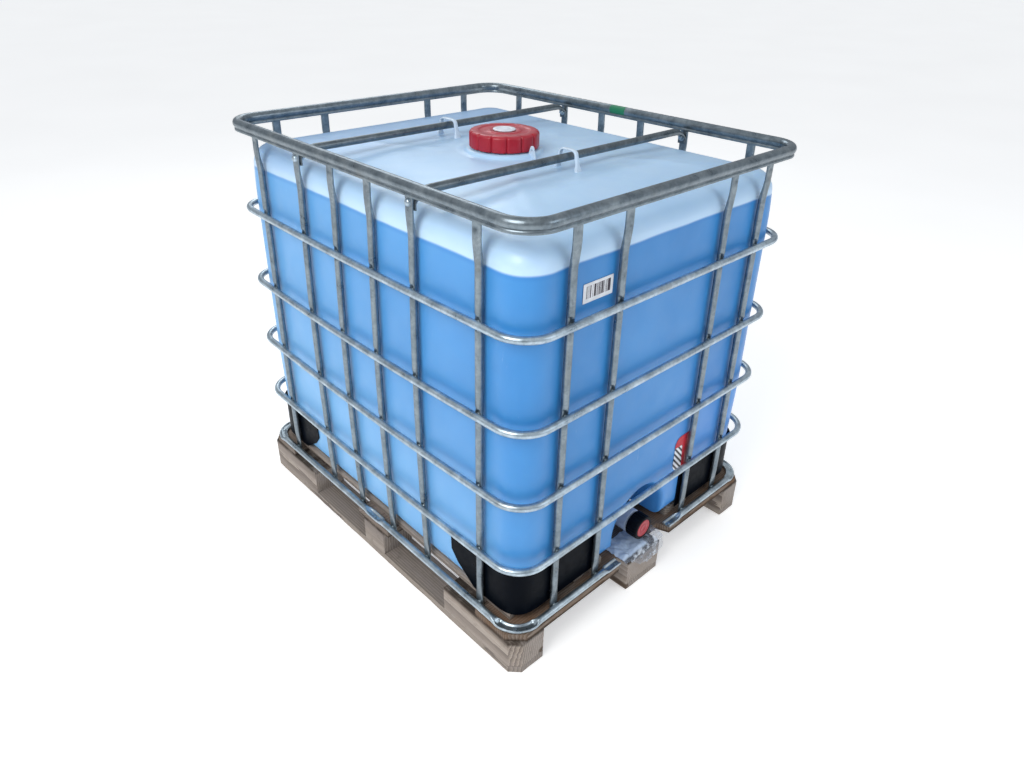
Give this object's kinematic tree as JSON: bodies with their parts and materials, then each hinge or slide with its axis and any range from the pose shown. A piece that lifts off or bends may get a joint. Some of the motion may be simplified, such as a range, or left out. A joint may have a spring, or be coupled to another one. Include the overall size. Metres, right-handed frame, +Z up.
{
  "type": "intermediate bulk container",
  "caption": "Intermediate bulk container: translucent plastic bottle in a galvanised tube cage on a wooden pallet, with a screw filling cap and a lever outlet valve.",
  "frame": {"origin": "middle of the footprint, on the floor under the pallet", "axes": "+X to the right seen from the valve side, -Y out of the front where the outlet valve is, +Z up"},
  "size_m": [1.0176, 1.199, 1.16],
  "materials": {
    "galvanised_tube": "galvanised steel, dull grey spangle with pressed and welded crossings",
    "bottle_plastic": "translucent blow-moulded polyethylene, pale above the liquid and blue below it",
    "cap_red": "red moulded plastic with grip lobes",
    "cap_white": "white moulded vent",
    "seal_rubber": "dark moulded rubber",
    "valve_plastic": "milky polyethylene",
    "black_plastic": "black moulded plastic",
    "black_shell": "black moulded sheet, slightly grained",
    "grey_wood": "weathered sawn softwood",
    "brown_wood": "sawn softwood with end grain"
  },
  "bodies": {
    "container": {"bottle": "bottle_plastic", "valve_body": "valve_plastic", "upright_left_1": "galvanised_tube", "upright_left_2": "galvanised_tube", "upright_left_3": "galvanised_tube", "upright_left_4": "galvanised_tube", "upright_left_5": "galvanised_tube", "upright_left_6": "galvanised_tube", "upright_right_1": "galvanised_tube", "upright_right_2": "galvanised_tube", "upright_right_3": "galvanised_tube", "upright_right_4": "galvanised_tube", "upright_right_5": "galvanised_tube", "upright_right_6": "galvanised_tube", "upright_front_1": "galvanised_tube", "upright_front_2": "galvanised_tube", "upright_front_3": "galvanised_tube", "upright_front_4": "galvanised_tube", "upright_back_1": "galvanised_tube", "upright_back_2": "galvanised_tube", "upright_back_3": "galvanised_tube", "upright_back_4": "galvanised_tube", "cage_ring_1": "galvanised_tube", "cage_ring_2": "galvanised_tube", "cage_ring_3": "galvanised_tube", "cage_ring_4": "galvanised_tube", "cage_top_rail": "galvanised_tube", "cage_bottom_rail": "galvanised_tube", "crossbar_front": "galvanised_tube", "crossbar_back": "galvanised_tube", "corner_protector_front_left": "black_shell", "corner_protector_front_right": "black_shell", "corner_protector_back_left": "black_shell", "corner_protector_back_right": "black_shell", "deck_board_left_outer": "grey_wood", "deck_board_left_inner": "grey_wood", "deck_board_right_outer": "grey_wood", "deck_board_right_inner": "grey_wood", "cross_board_front": "grey_wood", "cross_board_middle": "grey_wood", "cross_board_back": "grey_wood", "block_front_left": "brown_wood", "block_front_centre": "brown_wood", "block_front_right": "brown_wood", "block_middle_left": "brown_wood", "block_middle_centre": "brown_wood", "block_middle_right": "brown_wood", "block_back_left": "brown_wood", "block_back_centre": "brown_wood", "block_back_right": "brown_wood", "bottom_board_left": "brown_wood", "bottom_board_centre": "brown_wood", "bottom_board_right": "brown_wood"},
    "fill_cap_lift": {"fill_cap_gasket": "seal_rubber"},
    "fill_cap_turn": {"fill_cap": "cap_red", "vent_plug": "cap_white"},
    "valve_lever": {"valve_handle": "black_plastic", "valve_disc": "valve_plastic"},
    "outlet_cap_lift": {"outlet_cap_gasket": "seal_rubber"},
    "outlet_cap_turn": {"outlet_cap": "black_plastic"}
  },
  "joints": [
    {"name": "fill_cap_rise", "type": "slide", "parent": "container", "child": "fill_cap_lift", "axis": [0, 0, 1], "range_m": [0, 0.0175]},
    {"name": "fill_cap_unscrew", "type": "hinge", "parent": "fill_cap_lift", "child": "fill_cap_turn", "pos_m": [0, 0, 1.15], "axis": [0, 0, 1], "range_deg": [0, 900]},
    {"name": "valve_turn", "type": "hinge", "parent": "container", "child": "valve_lever", "pos_m": [0, -0.512, 0.2265], "axis": [0, 0, 1], "range_deg": [0, 90]},
    {"name": "outlet_cap_slide", "type": "slide", "parent": "container", "child": "outlet_cap_lift", "axis": [0, -1, 0], "range_m": [0, 0.012]},
    {"name": "outlet_cap_unscrew", "type": "hinge", "parent": "outlet_cap_lift", "child": "outlet_cap_turn", "pos_m": [0, -0.5755, 0.176], "axis": [0, -1, 0], "range_deg": [0, 720]}
  ],
  "couplings": [
    {"joint": "fill_cap_rise", "follows": "fill_cap_unscrew", "m_per_rad": 0.0011141},
    {"joint": "outlet_cap_slide", "follows": "outlet_cap_unscrew", "m_per_rad": 0.00095492}
  ]
}
